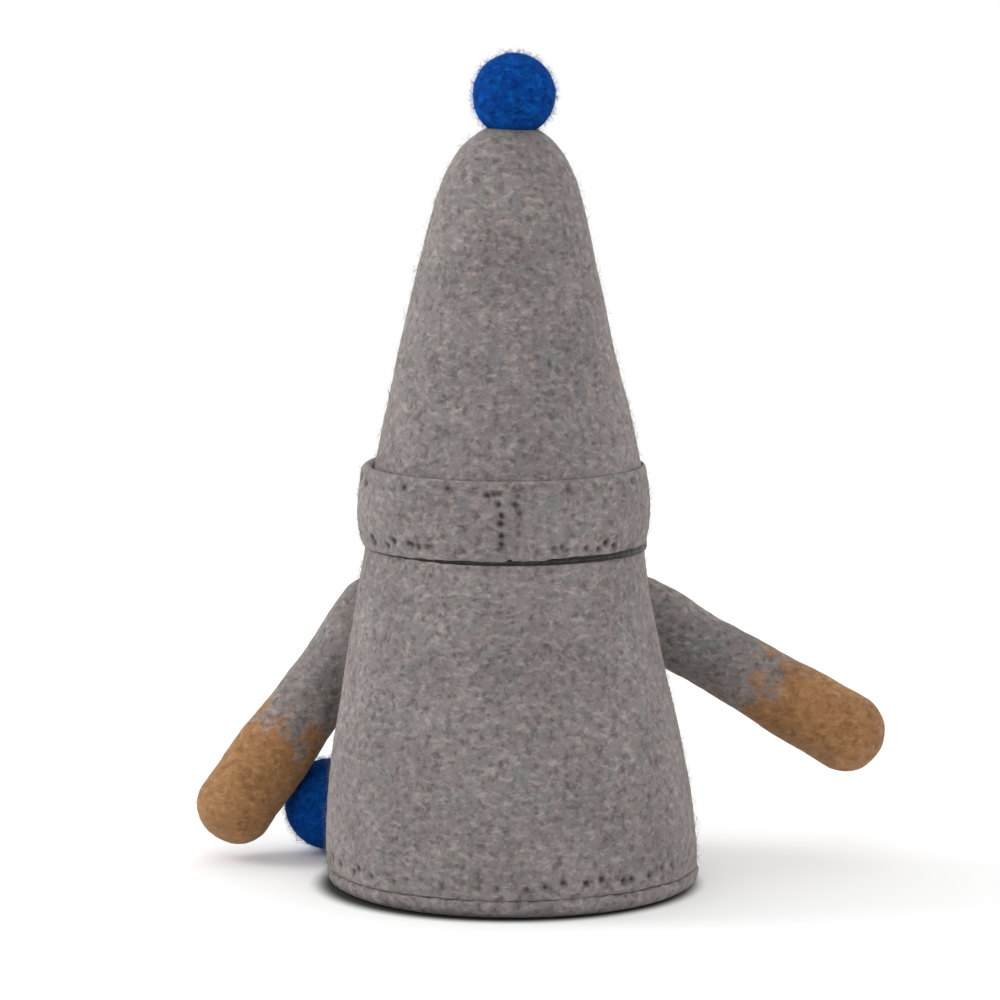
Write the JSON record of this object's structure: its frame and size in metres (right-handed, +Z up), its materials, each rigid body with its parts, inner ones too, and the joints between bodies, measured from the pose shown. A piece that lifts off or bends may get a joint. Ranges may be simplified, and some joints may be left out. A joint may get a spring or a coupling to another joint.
{
  "type": "felted gnome glove puppet",
  "caption": "Hand-felted wool gnome glove puppet: a sleeve for the hand, a stuffed hatted head on a sliding neck, pinned arms with mittens, a hanging beard and a felt ball.",
  "frame": {"origin": "centre of the sleeve's open foot, on the surface that the hem stands on", "axes": "+Z up along the body towards the pompom, -Y the way the gnome faces, +X the gnome's left"},
  "size_m": [0.2265, 0.1307, 0.2674],
  "materials": {
    "grey_felt": "marled grey wool felt",
    "tan_felt": "tan wool felt",
    "blue_felt": "blue wool felt",
    "white_wool": "combed off-white wool",
    "knit": "dark knitted jersey",
    "thread": "sewing thread",
    "wood": "plain sanded wood",
    "steel": "drawn wire",
    "card": "rolled card"
  },
  "bodies": {
    "sleeve": {"body_sleeve": "grey_felt", "hem_binding": "grey_felt", "hem_thread": "thread"},
    "neck": {"neck_gusset": "knit"},
    "head": {"hat_crown": "grey_felt", "hat_brim": "grey_felt", "brim_seam_thread": "thread", "head_core": "white_wool", "finger_tube": "card", "hat_stuffing": "white_wool", "hat_pompom": "blue_felt", "pompom_thread": "thread", "nose": "tan_felt", "beard_root": "white_wool"},
    "beard": {"beard": "white_wool"},
    "left_shoulder": {"left_shoulder_pin": "steel", "left_shoulder_button": "wood"},
    "left_arm": {"left_arm_felt": "grey_felt", "left_mitten": "tan_felt", "left_arm_wire": "steel", "held_ball": "blue_felt"},
    "right_shoulder": {"right_shoulder_pin": "steel", "right_shoulder_button": "wood"},
    "right_arm": {"right_arm_felt": "grey_felt", "right_mitten": "tan_felt", "right_arm_wire": "steel"}
  },
  "joints": [
    {"name": "head_nod", "type": "hinge", "parent": "sleeve", "child": "neck", "pos_m": [0, 0, 0.08], "axis": [1, 0, 0], "range_deg": [-8, 6], "stiffness_Nm_per_rad": 0.3},
    {"name": "head_tilt", "type": "hinge", "parent": "neck", "child": "head", "pos_m": [0, 0, 0.08], "axis": [0, 1, 0], "range_deg": [-8, 8], "stiffness_Nm_per_rad": 0.3},
    {"name": "beard_lift", "type": "hinge", "parent": "head", "child": "beard", "pos_m": [0, -0.0616, 0.093], "axis": [-1, 0, 0], "range_deg": [0, 60]},
    {"name": "left_arm_turn", "type": "hinge", "parent": "sleeve", "child": "left_shoulder", "pos_m": [0.04401, -0.04401, 0.08139], "axis": [0.6944, -0.6944, 0.1886], "range_deg": [0, 90]},
    {"name": "left_arm_lift", "type": "hinge", "parent": "left_shoulder", "child": "left_arm", "pos_m": [0.04401, -0.04401, 0.08139], "axis": [-0.5562, -0.6843, -0.4716], "range_deg": [0, 45]},
    {"name": "right_arm_turn", "type": "hinge", "parent": "sleeve", "child": "right_shoulder", "pos_m": [-0.04401, -0.04401, 0.08139], "axis": [0.6944, 0.6944, -0.1886], "range_deg": [-35, 70]},
    {"name": "right_arm_lift", "type": "hinge", "parent": "right_shoulder", "child": "right_arm", "pos_m": [-0.04401, -0.04401, 0.08139], "axis": [-0.3578, 0.5606, 0.7468], "range_deg": [-18, 30]}
  ]
}
